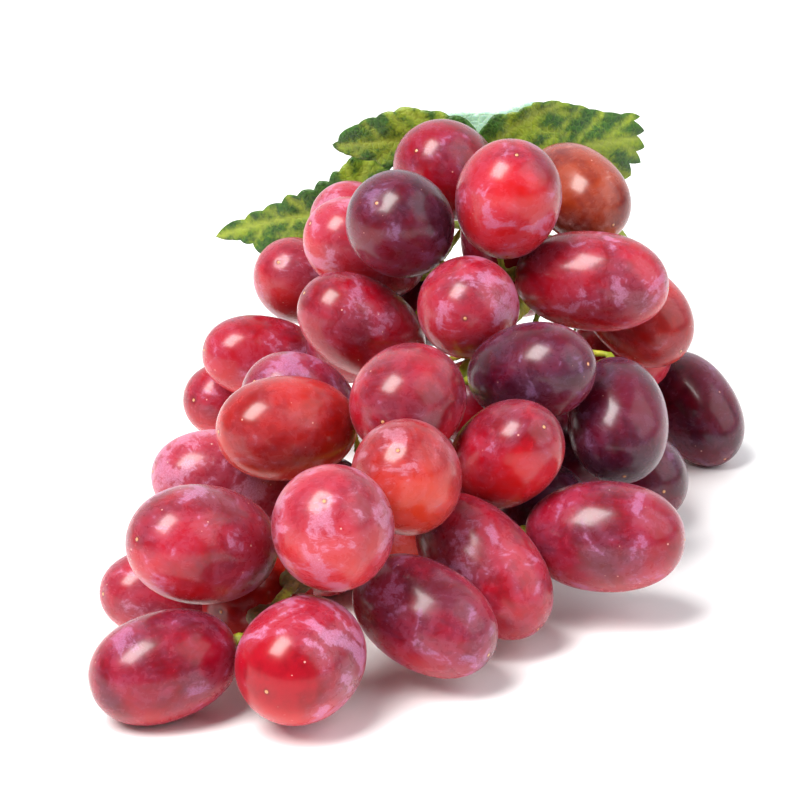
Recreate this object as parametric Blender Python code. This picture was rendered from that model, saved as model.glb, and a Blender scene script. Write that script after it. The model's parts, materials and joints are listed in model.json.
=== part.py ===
"""A bunch of oblong red table grapes lying on its side, with its stem and three vine leaves.

Every length is in millimetres until the meshes are made, and +Z is up.  Each berry is one body,
the branched stem is one body and each leaf with its stalk is one body.
"""

import math
import random
from typing import NamedTuple

import bmesh
import bpy
import numpy as np
from mathutils import Matrix, Vector

MM = 0.001
NODE_GAP = 0.35

# The viewpoint from which the berries were measured: a camera tilted down at the bunch.
VIEW_TILT = math.radians(20.0)
FOCAL_PIXELS = 2548.0
PICTURE_MIDDLE = 400.0
TARGET_DISTANCE = 520.0
TARGET_HEIGHT = 34.8

FORWARD = np.array([0.0, math.cos(VIEW_TILT), -math.sin(VIEW_TILT)])
RIGHT = np.array([1.0, 0.0, 0.0])
UP = np.array([0.0, math.sin(VIEW_TILT), math.cos(VIEW_TILT)])
CAMERA = np.array([0.0, 0.0, TARGET_HEIGHT]) - TARGET_DISTANCE * FORWARD

# How full a berry's side is: 2 is a plain ellipsoid.
FULLNESS = 2.12
EGG = 0.03
BERRY_SEGMENTS = 14
BERRY_RINGS = 6
FLAT_DEPTH = 0.3
RESTING_BELOW = 0.25
SNAP = 2e-5
WELD = 1e-6

# A berry takes its room as a chain of spheres along its axis.
CHAIN_SPHERES = 7
CHAIN_REACH = 0.46
CHAIN_END = 0.72
PROFILE_STEPS = 96

# How the berries are pushed apart, and how firmly one that shows keeps its place.
SETTLE_SLACK = 0.15
FIRST_ROUNDS = 300
LAST_ROUNDS = 400
PUSH_APART = 0.5
PUSH_OFF_STEM = 0.6
PUSH_UP = 0.8
SEEN_SIDEWAYS = 0.35
HOME_PULL = 0.05
HOME_PULL_ROUNDS = 0.7

# Berries that are hidden from the front fill the inside and the back of the bunch.
HIDDEN_SEED = 7
HIDDEN_MOST = 17
HIDDEN_TRIES = 30000
HIDDEN_NEAREST = 12.5
HIDDEN_FARTHEST = 36.0
HIDDEN_WIDTH = (18.5, 21.0)
HIDDEN_LENGTH = (1.25, 1.4)
HIDDEN_BACKWARD = 0.35
HIDDEN_SPREAD = 0.25
RESTING_STEEPEST = 0.8
HIDDEN_OVERLAP = 2.2
HIDDEN_STEM_OVERLAP = 0.3
HIDDEN_BACK_EDGE = 76.0
HIDDEN_HIGH = 28.0
HIDDEN_HIGH_EDGE = 62.0
HIDDEN_LOWEST = 2.0
HIDDEN_MOST_LIFT = 6.0
STALK_ROOM = 2.0
SEE_THROUGH = [(467, 382), (455, 365), (567, 335)]
SEE_THROUGH_CLEAR = 1.0
RIM_DIRECTIONS = 10
RIM_SHARE = 0.93

# The branches: each berry's stalk runs from its stem end to the nearest clear place on the stem.
STALK_RADIUS = 0.75
STALK_CUP_RADIUS = 1.7
STALK_CUP_LENGTH = 2.2
STALK_CUP_SPACE = 0.8
STALK_STEPS = 6
STALK_CLEAR = 0.4
STALK_LEAD = 6.0
STALK_BENDS = 40
STALK_PUSH = 0.7
STALK_SOFTENING = 0.25
STALK_GOOD_ROOM = 0.3
STALK_LEAST_ROOM = 0.05
BRANCH_CHOICES = 90
FIRST_BRANCH = 4
STEM_STEP = 2.0
STEM_CLEAR = 3.0
MAIN_STEM_RADII = (2.7, 1.1)
TUBE_BEVEL_RESOLUTION = 1

# The leaves: each is a lobed, toothed sheet with a stalk.
SHEET_THICKNESS = 0.8
LEAF_STALK_RADIUS = 1.1
LEAF_STALK_STEPS = 8
LEAF_STALK_BACK = 9.0
LEAF_STALK_DROP = 3.0
LEAF_STALK_GAP = 0.5
LEAF_RING = 0.62
LEAF_WAVES = 7
LEAF_WAVE_RADIUS = 30.0
RULED_TOOTH = 0.22
RULED_TOOTH_PLACE = 0.45


class Seen(NamedTuple):
    """A berry that shows: its centre in the picture, its distance, its size and where its tip points."""

    picture_x: float
    picture_y: float
    distance: float
    width: float
    length: float
    tip_right: float
    tip_up: float
    tip_near: float


SEEN = {
    "berry_top": Seen(447, 171, 560, 21.9, 27, -0.5, 0.25, 0.8),
    "berry_crown": Seen(508, 200, 530, 22.5, 27, 0.1, 0.62, 0.78),
    "berry_crown_right": Seen(578, 193, 558, 20.0, 28, 0.5, -0.55, 0.67),
    "berry_crown_left": Seen(401, 225, 534, 22.5, 25, -0.4, 0.3, 0.85),
    "berry_under_crown": Seen(365, 249, 556, 21.0, 29, -0.8, 0.35, 0.45),
    "berry_behind_crown": Seen(354, 226, 580, 19.5, 25, -0.3, 0.3, 0.9),
    "berry_left_high": Seen(297, 281, 583, 19.2, 25, -0.3, 0.3, 0.9),
    "berry_shoulder_right": Seen(591, 281, 546, 21.5, 33, 0.95, -0.1, 0.25),
    "berry_shoulder_back": Seen(637, 312, 566, 20.5, 29, 0.6, -0.6, 0.5),
    "berry_middle": Seen(470, 311, 538, 21.4, 26, -0.08, -0.22, 0.97),
    "berry_middle_left": Seen(362, 326, 546, 20.5, 30, -0.8, 0.45, 0.35),
    "berry_left_back": Seen(263, 357, 578, 19.0, 28, -0.9, 0.1, 0.35),
    "berry_left_low": Seen(232, 400, 590, 18.5, 25, -0.6, 0.0, 0.7),
    "berry_left_purple": Seen(300, 405, 528, 20.5, 27, -0.6, 0.3, 0.6),
    "berry_left_bright": Seen(287, 428, 503, 20.8, 28.5, -0.93, -0.05, 0.4),
    "berry_centre": Seen(411, 402, 512, 22.2, 26, -0.38, -0.32, 0.87),
    "berry_front_high": Seen(407, 479, 492, 21.0, 26, -0.13, 0.41, 0.9),
    "berry_dark_middle": Seen(530, 373, 530, 20.2, 28, 0.75, 0.1, 0.6),
    "berry_centre_right": Seen(503, 452, 498, 20.2, 28, 0.5, 0.4, 0.77),
    "berry_dark_right": Seen(616, 420, 525, 20.6, 27.5, 0.05, -0.8, 0.55),
    "berry_far_right": Seen(694, 409, 580, 19.6, 29.5, 0.4, -0.75, 0.45),
    "berry_right_low": Seen(601, 537, 514, 22.0, 31.5, 0.97, -0.03, 0.2),
    "berry_right_under": Seen(633, 485, 543, 20.0, 25, 0.3, -0.2, 0.8),
    "berry_right_shade": Seen(572, 455, 535, 20.0, 26, 0.5, 0.0, 0.85),
    "berry_left_pink": Seen(226, 480, 505, 20.6, 30.5, -0.93, 0.12, 0.3),
    "berry_left_front": Seen(203, 547, 472, 22.4, 30.5, -0.73, 0.1, 0.67),
    "berry_front": Seen(334, 528, 463, 22.5, 26, -0.1, 0.42, 0.9),
    "berry_left_floor": Seen(163, 593, 494, 17.2, 25, -0.85, 0.0, 0.5),
    "berry_tip_left": Seen(165, 662, 459, 20.3, 28, -0.93, -0.28, 0.25),
    "berry_tip_front": Seen(301, 659, 461, 22.5, 27, -0.42, -0.34, 0.84),
    "berry_tip_right": Seen(425, 615, 478, 20.4, 30, 0.78, -0.45, 0.42),
    "berry_front_right": Seen(485, 562, 497, 20.6, 33, 0.62, -0.72, 0.3),
    "berry_tip_under": Seen(258, 598, 489, 19.0, 25, -0.5, -0.1, 0.8),
    "berry_sliver_right": Seen(622, 350, 574, 19.5, 25, 0.5, -0.2, 0.6),
    "berry_behind_middle": Seen(425, 302, 574, 20.0, 26, -0.2, 0.3, 0.9),
    "berry_behind_shoulder": Seen(524, 276, 578, 19.0, 25, 0.1, 0.2, 0.95),
    "berry_behind_centre": Seen(474, 402, 546, 19.0, 25, 0.1, 0.0, 0.95),
    "berry_under_centre": Seen(545, 505, 536, 19.0, 25, 0.3, -0.2, 0.9),
}

# The middle line of the main stem, from its cut end at the back to its tip at the front.
MAIN_STEM = np.array(
    [
        [53.0, 92.0, 35.0],
        [45.0, 78.0, 38.0],
        [34.0, 60.0, 41.0],
        [24.0, 36.0, 41.0],
        [14.0, 12.0, 37.0],
        [2.0, -12.0, 30.0],
        [-8.0, -32.0, 23.0],
        [-18.0, -48.0, 17.5],
        [-28.0, -63.0, 11.5],
    ]
)


def unit(vector):
    return vector / np.linalg.norm(vector)


def from_picture(x, y, distance):
    across = (x - PICTURE_MIDDLE) / FOCAL_PIXELS
    down = (y - PICTURE_MIDDLE) / FOCAL_PIXELS
    return CAMERA + distance * (FORWARD + across * RIGHT - down * UP)


def berry_profile(length, width, steps):
    """Points (along, out) of a berry's side, from its stem end to its tip."""
    turn = np.linspace(0.0, math.pi, steps + 1)
    along = -np.sign(np.cos(turn)) * np.abs(np.cos(turn)) ** (2 / FULLNESS) * length / 2
    out = np.abs(np.sin(turn)) ** (2 / FULLNESS) * width / 2
    out = out * (1 + EGG * along / (length / 2))
    return np.stack([along, out], axis=1)


class Berry:
    def __init__(self, name, centre, tip, length, width, seen):
        self.name = name
        self.centre = np.array(centre, float)
        self.home = self.centre.copy()
        self.tip = unit(np.array(tip, float))
        self.length = length
        self.width = width
        self.seen = seen
        reach = CHAIN_REACH * (length - width * CHAIN_END)
        self.offsets = np.linspace(-reach, reach, CHAIN_SPHERES)
        side = berry_profile(length, width, PROFILE_STEPS)
        self.radii = np.array(
            [np.hypot(side[:, 0] - offset, side[:, 1]).min() for offset in self.offsets]
        )

    def spheres(self):
        return self.centre + self.offsets[:, None] * self.tip

    def stem_end(self):
        return self.centre - self.tip * self.length / 2

    def lowest(self):
        return float((self.spheres()[:, 2] - self.radii).min())


def seen_berries():
    berries = []
    for name, view in SEEN.items():
        centre = from_picture(view.picture_x, view.picture_y, view.distance)
        tip = view.tip_right * RIGHT + view.tip_up * UP - view.tip_near * FORWARD
        berries.append(Berry(name, centre, tip, view.length, view.width, True))
    return berries


def stem_points(step):
    """The main stem's middle line as a smooth curve, sampled about every step."""
    ends = np.vstack([2 * MAIN_STEM[0] - MAIN_STEM[1], MAIN_STEM, 2 * MAIN_STEM[-1] - MAIN_STEM[-2]])
    points = []
    for a, b, c, d in zip(ends, ends[1:], ends[2:], ends[3:]):
        count = max(2, round(np.linalg.norm(c - b) / step))
        for t in np.arange(count) / count:
            points.append(
                0.5
                * (
                    2 * b
                    + (c - a) * t
                    + (2 * a - 5 * b + 4 * c - d) * t**2
                    + (3 * b - a - 3 * c + d) * t**3
                )
            )
    points.append(MAIN_STEM[-1])
    return np.array(points)


def settle(berries, stem, rounds):
    """Push the berries apart, off the stem and above the table.

    A berry that shows moves mostly along the line from the camera, so that it keeps its place
    in the picture.
    """
    radii = np.array([berry.radii for berry in berries])
    offsets = np.array([berry.offsets for berry in berries])
    tips = np.array([berry.tip for berry in berries])
    homes = np.array([berry.home for berry in berries])
    centres = np.array([berry.centre for berry in berries])
    sight = homes - CAMERA
    sight = sight / np.linalg.norm(sight, axis=1)[:, None]
    seen = np.array([berry.seen for berry in berries])
    count = len(berries)
    first, second = np.triu_indices(count, 1)
    for turn in range(rounds):
        spheres = centres[:, None, :] + offsets[:, :, None] * tips[:, None, :]
        between = spheres[second][:, None, :, :] - spheres[first][:, :, None, :]
        apart = np.linalg.norm(between, axis=3)
        overlap = radii[first][:, :, None] + radii[second][:, None, :] - apart
        overlap = overlap + NODE_GAP + SETTLE_SLACK
        flat = overlap.reshape(len(first), -1)
        worst = flat.argmax(axis=1)
        depth = flat[np.arange(len(first)), worst]
        pairs = np.flatnonzero(depth > 0)
        one, two = np.unravel_index(worst[pairs], overlap.shape[1:])
        way = between[pairs, one, two] / apart[pairs, one, two][:, None]
        move = np.zeros((count, 3))
        push = PUSH_APART * depth[pairs][:, None] * way
        np.add.at(move, first[pairs], -push)
        np.add.at(move, second[pairs], push)
        off = spheres[:, :, None, :] - stem[None, None, :, :]
        gap = np.linalg.norm(off, axis=3)
        inside = radii[:, :, None] + STEM_CLEAR - gap
        for i in range(count):
            j, k = np.unravel_index(inside[i].argmax(), inside[i].shape)
            if inside[i, j, k] > 0:
                move[i] += PUSH_OFF_STEM * inside[i, j, k] * off[i, j, k] / gap[i, j, k]
        low = (spheres[:, :, 2] - radii).min(axis=1)
        below = -FLAT_DEPTH - low
        move[:, 2] += np.where(below > 0, PUSH_UP * below, 0.0)
        along = (move * sight).sum(axis=1)[:, None] * sight
        across = move - along
        held = np.where(seen, SEEN_SIDEWAYS, 1.0)[:, None]
        centres = centres + along + held * across
        drift = homes - centres
        drift = drift - (drift * sight).sum(axis=1)[:, None] * sight
        pull = HOME_PULL if turn < rounds * HOME_PULL_ROUNDS else 0.0
        centres = centres + np.where(seen, pull, 0.0)[:, None] * drift
    for berry, centre in zip(berries, centres):
        berry.centre = centre


def rays(pixels):
    ways = np.array([from_picture(x, y, 1.0) - CAMERA for x, y in pixels])
    return ways / np.linalg.norm(ways, axis=1)[:, None]


def ray_gaps(ways, spheres):
    """How far each ray from the camera passes from each sphere's middle."""
    reach = spheres - CAMERA
    along = ways @ reach.T
    squared = (reach**2).sum(axis=1)[None, :] - along**2
    return np.sqrt(np.maximum(squared, 0.0))


def stalk_roots(berries):
    """The places just behind each stem end that its stalk needs."""
    return [
        (berry.centre - (berry.length / 2 + reach) * berry.tip)[None, :]
        for berry in berries
        for reach in (STALK_ROOM, 3 * STALK_ROOM)
    ]


def hidden_berries(berries, stem):
    """Berries by a seeded rule round the main stem, where nearer ones cover them."""
    draw = random.Random(HIDDEN_SEED)
    gap_rays = rays(SEE_THROUGH)
    added = []
    for _ in range(HIDDEN_TRIES):
        if len(added) == HIDDEN_MOST:
            break
        place = draw.randrange(3, len(stem) - 3)
        along = unit(stem[place + 2] - stem[place - 2])
        side = unit(np.cross(along, [0.0, 0.0, 1.0]))
        up = np.cross(side, along)
        turn = draw.uniform(0, 2 * math.pi)
        out = math.cos(turn) * side + math.sin(turn) * up
        away = draw.uniform(HIDDEN_NEAREST, HIDDEN_FARTHEST)
        centre = stem[place] + away * out
        spread = HIDDEN_SPREAD * np.array([draw.uniform(-1, 1) for _ in range(3)])
        tip = unit(out - HIDDEN_BACKWARD * along + spread)
        width = draw.uniform(*HIDDEN_WIDTH)
        berry = Berry("hidden", centre, tip, width * draw.uniform(*HIDDEN_LENGTH), width, False)
        if berry.lowest() < HIDDEN_LOWEST:
            berry.centre[2] += -FLAT_DEPTH - berry.lowest()
            if abs(tip[2]) > RESTING_STEEPEST:
                continue
        back_edge = HIDDEN_HIGH_EDGE if centre[2] > HIDDEN_HIGH else HIDDEN_BACK_EDGE
        if abs(berry.centre[2] - centre[2]) > HIDDEN_MOST_LIFT or berry.centre[1] > back_edge:
            continue
        spheres = berry.spheres()
        others = np.vstack([other.spheres() for other in berries + added] + stalk_roots(berries + added))
        other_radii = np.concatenate([other.radii for other in berries + added])
        other_radii = np.append(other_radii, np.full(len(others) - len(other_radii), STALK_ROOM))
        apart = np.linalg.norm(spheres[:, None, :] - others[None, :, :], axis=2)
        if (berry.radii[:, None] + other_radii[None, :] - apart).max() > HIDDEN_OVERLAP:
            continue
        off = np.linalg.norm(spheres[:, None, :] - stem[None, :, :], axis=2)
        if (berry.radii[:, None] + STEM_CLEAR - off).max() > HIDDEN_STEM_OVERLAP:
            continue
        if (ray_gaps(gap_rays, spheres) - berry.radii).min() < SEE_THROUGH_CLEAR:
            continue
        if shows(berry, berries):
            continue
        added.append(berry)
    for number, berry in enumerate(added, 1):
        berry.name = f"berry_inner_{number:02d}"
        berry.home = berry.centre.copy()
    return added


def shows(berry, berries):
    """True if any part of this berry's edge in the picture isn't behind a nearer berry."""
    ways = []
    for sphere, radius in zip(berry.spheres()[::3], berry.radii[::3]):
        for number in range(RIM_DIRECTIONS):
            turn = 2 * math.pi * number / RIM_DIRECTIONS
            rim = sphere + RIM_SHARE * radius * (math.cos(turn) * RIGHT + math.sin(turn) * UP)
            ways.append(unit(rim - CAMERA))
    ways = np.array(ways)
    distance = np.linalg.norm(berry.centre - CAMERA)
    covered = np.zeros(len(ways), bool)
    for other in berries:
        if np.linalg.norm(other.centre - CAMERA) > distance - 2.0:
            continue
        covered |= (ray_gaps(ways, other.spheres()) < other.radii).any(axis=1)
    return not covered.all()


class Tube(NamedTuple):
    points: np.ndarray
    radii: np.ndarray


def bezier(start, one, two, end, steps):
    t = np.linspace(0, 1, steps)[:, None]
    return (1 - t) ** 3 * start + 3 * (1 - t) ** 2 * t * one + 3 * (1 - t) * t**2 * two + t**3 * end


def clearance(points, spheres, radii, thickness):
    gaps = np.linalg.norm(points[:, None, :] - spheres[None, :, :], axis=2) - radii[None, :]
    return float(gaps.min()) - thickness


def refined(points, pieces):
    """The points of a line with each stretch split into this many pieces."""
    shares = np.arange(pieces)[None, :, None] / pieces
    split = points[:-1, None, :] * (1 - shares) + points[1:, None, :] * shares
    return np.vstack([split.reshape(-1, 3), points[-1:]])


def stalk_points(path, tip):
    """The path with its first point's cup, and no other point within the cup."""
    cup = path[0] - tip * STALK_CUP_LENGTH
    far = np.linalg.norm(path - path[0], axis=1) > STALK_CUP_LENGTH + STALK_CUP_SPACE
    return np.vstack([path[0], cup, path[1:][far[1:]]])


def clear_path(start, lead, end, spheres, radii):
    """A line from a berry's stem end to the stem that bends round the berries between."""
    span = np.linalg.norm(end - start)
    one = start + lead * min(STALK_LEAD, 0.45 * span)
    two = end + (start - end) * 0.3
    points = bezier(start, one, two, end, STALK_STEPS)
    wanted = STALK_RADIUS + STALK_CLEAR
    for _ in range(STALK_BENDS):
        inner = points[1:-1]
        off = inner[:, None, :] - spheres[None, :, :]
        gap = np.linalg.norm(off, axis=2)
        inside = radii[None, :] + wanted - gap
        worst = inside.argmax(axis=1)
        rows = np.arange(len(inner))
        depth = np.maximum(inside[rows, worst], 0.0)[:, None]
        if depth.max() <= 0.0:
            break
        inner = inner + STALK_PUSH * depth * off[rows, worst] / gap[rows, worst][:, None]
        points = np.vstack([points[:1], inner, points[-1:]])
        smooth = 0.25 * points[:-2] + 0.5 * points[1:-1] + 0.25 * points[2:]
        points[1:-1] = (1 - STALK_SOFTENING) * points[1:-1] + STALK_SOFTENING * smooth
    return points


def branches(berries, stem):
    """The main stem and every berry's stalk as tubes.  A berry with no clear way has none."""
    spheres = np.vstack([berry.spheres() for berry in berries])
    radii = np.concatenate([berry.radii for berry in berries])
    share = np.linspace(0, 1, len(stem))
    thick = MAIN_STEM_RADII[0] + (MAIN_STEM_RADII[1] - MAIN_STEM_RADII[0]) * share
    chosen = sorted({*range(0, len(stem), 3), len(stem) - 1})
    tubes = [Tube(stem[chosen], thick[chosen])]
    tree = stem[FIRST_BRANCH:].copy()
    order = sorted(berries, key=lambda berry: np.linalg.norm(stem - berry.stem_end(), axis=1).min())
    for berry in order:
        start = berry.stem_end() - NODE_GAP * berry.tip
        away = np.linalg.norm(tree - start, axis=1)
        best = None
        for choice in np.argsort(away)[:BRANCH_CHOICES]:
            path = clear_path(start, -berry.tip, tree[choice], spheres, radii)
            path = stalk_points(path, berry.tip)
            room = clearance(refined(path[1:], 4), spheres, radii, STALK_RADIUS)
            if best is None or room > best[0]:
                best = (room, path)
            if room > STALK_GOOD_ROOM:
                break
        if best[0] < STALK_LEAST_ROOM:
            continue
        points = best[1]
        tube_radii = np.full(len(points), STALK_RADIUS)
        tube_radii[0] = STALK_CUP_RADIUS
        tubes.append(Tube(points, tube_radii))
        tree = np.vstack([tree, refined(points[1:], 2)])
    return tubes


class Leaf(NamedTuple):
    """A leaf: where its stalk joins, how it stands, its margin in the picture, and its stalk.

    A margin point is (picture x, picture y), or (picture x, picture y, teeth) where the stretch
    that ends there is hidden and carries that many even teeth.
    """

    joint_x: float
    joint_y: float
    distance: float
    lean: float
    swing: float
    margin: tuple
    bow_across: float
    bow_up: float
    ripple: float
    stalk_place: int
    stalk_side: tuple


LEAVES = {
    "leaf_top": Leaf(
        485, 150, 583, -3, 4,
        (
            (478, 134), (486, 123), (494, 114), (506, 114), (518, 111), (520, 108), (531, 105),
            (533, 102), (544, 101), (558, 99), (563, 101), (575, 102), (591, 106), (606, 109),
            (624, 110), (633, 108), (644, 111), (637, 116), (648, 126), (640, 132), (648, 143),
            (639, 148), (644, 159), (632, 160), (634, 172), (624, 178),
            (566, 190, 3), (600, 236, 3), (528, 205, 4), (500, 236, 5), (466, 196, 4), (404, 222, 4),
            (436, 176, 4), (375, 158, 3),
            (354, 154), (349, 152), (342, 149), (336, 146), (331, 140), (337, 137), (339, 130),
            (351, 123), (358, 121), (366, 116), (376, 115), (382, 111), (394, 110), (400, 106),
            (412, 106), (421, 109), (431, 110), (442, 111), (449, 115), (460, 115), (472, 124),
        ),
        -0.007, -0.006, 1.1, 4, (-0.5, 0.3, 0.8),
    ),
    "leaf_left": Leaf(
        352, 212, 602, -2, -4,
        (
            (213, 234), (230, 219), (243, 218), (250, 210), (262, 209), (270, 203), (281, 202),
            (287, 194), (297, 195), (303, 189), (314, 189), (319, 180), (329, 181), (333, 171),
            (339, 171), (346, 163), (353, 155), (364, 152), (378, 150), (392, 152),
            (388, 186, 2), (424, 214, 3), (382, 238, 3), (370, 280, 3), (336, 246, 3), (292, 262, 3),
            (260, 252), (256, 249), (252, 242), (245, 242), (239, 238), (231, 238),
        ),
        -0.008, -0.003, 1.1, 1, (-0.3, 0.9, 0.3),
    ),
    "leaf_back": Leaf(
        490, 152, 597, -6, 0,
        (
            (445, 114), (459, 112), (476, 113), (493, 112), (505, 110), (519, 105), (531, 101),
            (541, 106), (556, 142, 3), (536, 186, 4), (500, 204, 3), (462, 192, 3), (440, 158, 3),
        ),
        0.004, -0.004, 0.6, 2, (0.6, 0.3, 0.7),
    ),
}


def leaf_frame(leaf):
    lean = math.radians(leaf.lean)
    swing = math.radians(leaf.swing)
    across = np.array([math.cos(swing), math.sin(swing), 0.0])
    back = np.array([-math.sin(swing), math.cos(swing), 0.0])
    up = math.sin(lean) * back + math.cos(lean) * np.array([0.0, 0.0, 1.0])
    return across, up, np.cross(across, up)


def leaf_margin(leaf):
    """The margin as points (across, up) in the leaf's own plane, with the hidden teeth added."""
    joint = from_picture(leaf.joint_x, leaf.joint_y, leaf.distance)
    across, up, front = leaf_frame(leaf)
    corners = []
    for x, y, *_ in leaf.margin:
        way = from_picture(x, y, 1.0) - CAMERA
        reach = ((joint - CAMERA) @ front) / (way @ front)
        place = CAMERA + reach * way - joint
        corners.append(np.array([place @ across, place @ up]))
    outline = []
    for number, corner in enumerate(corners):
        entry = leaf.margin[number]
        if len(entry) == 3:
            before = corners[number - 1]
            step = (corner - before) / entry[2]
            outward = np.array([-step[1], step[0]])
            if outward @ (before + corner) < 0:
                outward = -outward
            for tooth in range(entry[2]):
                if tooth:
                    outline.append(before + tooth * step)
                outline.append(before + (tooth + RULED_TOOTH_PLACE) * step + RULED_TOOTH * outward)
        outline.append(corner)
    return joint, across, up, front, np.array(outline)


def leaf_rise(leaf, x, y):
    """How far the sheet stands out of its flat plane, towards the camera."""
    reach = math.hypot(x, y) / LEAF_WAVE_RADIUS
    wave = leaf.ripple * math.cos(LEAF_WAVES * math.atan2(y, x)) * reach**1.5
    return leaf.bow_across * x * x + leaf.bow_up * y * y + wave


def material(name, colour, roughness):
    finish = bpy.data.materials.new(name)
    finish.use_nodes = True
    shader = finish.node_tree.nodes["Principled BSDF"]
    shader.inputs["Base Color"].default_value = (*colour, 1.0)
    shader.inputs["Roughness"].default_value = roughness
    shader.inputs["Metallic"].default_value = 0.0
    return finish


def add_object(name, data, finish, parent):
    made = bpy.data.objects.new(name, data)
    made.data.materials.append(finish)
    made.parent = parent
    bpy.context.scene.collection.objects.link(made)
    return made


def finished(name, shape):
    """The bmesh as a mesh with its faces pointing out, shaded smooth."""
    bmesh.ops.recalc_face_normals(shape, faces=shape.faces)
    mesh = bpy.data.meshes.new(name)
    shape.to_mesh(mesh)
    shape.free()
    mesh.shade_smooth()
    return mesh


def evaluated_mesh(made):
    graph = bpy.context.evaluated_depsgraph_get()
    graph.update()
    return bpy.data.meshes.new_from_object(made.evaluated_get(graph))


def tube_object(name, tube, finish, parent):
    """A round tube along its points, of each point's own radius, its ends closed."""
    curve = bpy.data.curves.new(name, "CURVE")
    curve.dimensions = "3D"
    curve.bevel_depth = MM
    curve.bevel_resolution = TUBE_BEVEL_RESOLUTION
    curve.use_fill_caps = True
    line = curve.splines.new("POLY")
    line.points.add(len(tube.points) - 1)
    for point, place, radius in zip(line.points, tube.points, tube.radii):
        point.co = (*(place * MM), 1.0)
        point.radius = radius
    drawn = add_object(name, curve, finish, parent)
    shape = bmesh.new()
    shape.from_mesh(evaluated_mesh(drawn))
    bpy.data.objects.remove(drawn)
    bmesh.ops.remove_doubles(shape, verts=shape.verts, dist=WELD)
    return add_object(name, finished(name, shape), finish, parent)


def fuse(made, others):
    """Join the others to made by one union, apply its modifiers, then remove the others."""
    group = bpy.data.collections.new("fused")
    for other in others:
        bpy.context.scene.collection.objects.unlink(other)
        group.objects.link(other)
    join = made.modifiers.new("join", "BOOLEAN")
    join.operation = "UNION"
    join.operand_type = "COLLECTION"
    join.collection = group
    join.solver = "EXACT"
    whole = evaluated_mesh(made)
    made.modifiers.clear()
    made.data = whole
    for other in others:
        bpy.data.objects.remove(other)
    bpy.data.collections.remove(group)


def berry_turn(tip):
    """The rotation that takes a berry's own Z to its tip, with its own X as low as it can be."""
    low = unit(np.array([0.0, 0.0, -1.0]) + tip[2] * tip)
    return Matrix(np.column_stack([low, np.cross(tip, low), tip]).tolist()).to_4x4()


def berry_object(berry, finish, parent):
    """A turned berry, cut flat underneath where it rests on the table."""
    shape = bmesh.new()
    side = berry_profile(berry.length, berry.width, BERRY_RINGS + 1) * MM
    corners = [shape.verts.new((out, 0.0, along)) for along, out in side]
    edges = [shape.edges.new(pair) for pair in zip(corners, corners[1:])]
    bmesh.ops.spin(
        shape,
        geom=corners + edges,
        axis=(0.0, 0.0, 1.0),
        cent=(0.0, 0.0, 0.0),
        angle=2 * math.pi,
        steps=BERRY_SEGMENTS,
    )
    bmesh.ops.remove_doubles(shape, verts=shape.verts, dist=WELD)
    turn = berry_turn(berry.tip)
    lowest = min((turn @ corner.co)[2] for corner in shape.verts) / MM
    if berry.centre[2] + lowest < RESTING_BELOW:
        berry.centre[2] = -FLAT_DEPTH - lowest
        floor = turn.inverted() @ Vector((0.0, 0.0, -berry.centre[2] * MM))
        cut = bmesh.ops.bisect_plane(
            shape,
            geom=shape.verts[:] + shape.edges[:] + shape.faces[:],
            plane_co=floor,
            plane_no=turn.inverted() @ Vector((0.0, 0.0, 1.0)),
            dist=SNAP,
            clear_inner=True,
        )
        rim = [item for item in cut["geom_cut"] if isinstance(item, bmesh.types.BMEdge)]
        bmesh.ops.contextual_create(shape, geom=rim)
    made = add_object(berry.name, finished(berry.name, shape), finish, parent)
    made.matrix_local = Matrix.Translation(Vector(berry.centre * MM)) @ turn
    return made


def leaf_sheet(name, leaf):
    """The leaf's middle surface: triangles from the joint out to one ring and on to the margin."""
    joint, across, up, front, outline = leaf_margin(leaf)
    smooth = outline
    for _ in range(2):
        smooth = 0.5 * smooth + 0.25 * (np.roll(smooth, 1, axis=0) + np.roll(smooth, -1, axis=0))
    shape = bmesh.new()

    def corner(x, y):
        place = joint + x * across + y * up - leaf_rise(leaf, x, y) * FORWARD
        return shape.verts.new(place * MM)

    middle = corner(0.0, 0.0)
    inner = [corner(LEAF_RING * x, LEAF_RING * y) for x, y in smooth]
    outer = [corner(x, y) for x, y in outline]
    for number in range(len(outline)):
        before = number - 1
        shape.faces.new((middle, inner[before], inner[number]))
        shape.faces.new((inner[before], outer[before], outer[number]))
        shape.faces.new((inner[before], outer[number], inner[number]))
    return finished(name, shape), joint, front


def leaf_object(name, leaf, stem, finish, parent):
    sheet, joint, front = leaf_sheet(name, leaf)
    made = add_object(name, sheet, finish, parent)
    thicken = made.modifiers.new("thickness", "SOLIDIFY")
    thicken.thickness = SHEET_THICKNESS * MM
    thicken.offset = 0.0
    side = unit(np.array(leaf.stalk_side))
    end = stem[leaf.stalk_place] + (MAIN_STEM_RADII[0] + LEAF_STALK_RADIUS + LEAF_STALK_GAP) * side
    start = joint - 0.25 * SHEET_THICKNESS * front
    drop = np.array([0.0, 0.0, LEAF_STALK_DROP])
    bends = (start - LEAF_STALK_BACK * front - drop, end + LEAF_STALK_BACK * side)
    points = bezier(start, *bends, end, LEAF_STALK_STEPS)
    stalk = Tube(points, np.full(len(points), LEAF_STALK_RADIUS))
    fuse(made, [tube_object("stalk", stalk, finish, parent)])
    return made


def stem_object(tubes, finish, parent):
    pieces = [tube_object("stem", tube, finish, parent) for tube in tubes]
    fuse(pieces[0], pieces[1:])
    pieces[0].name = "stem"
    return pieces[0]


def layout():
    """Every berry in place, and the stem's middle line."""
    stem = stem_points(STEM_STEP)
    berries = seen_berries()
    settle(berries, stem, FIRST_ROUNDS)
    berries = berries + hidden_berries(berries, stem)
    settle(berries, stem, LAST_ROUNDS)
    return berries, stem


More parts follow.
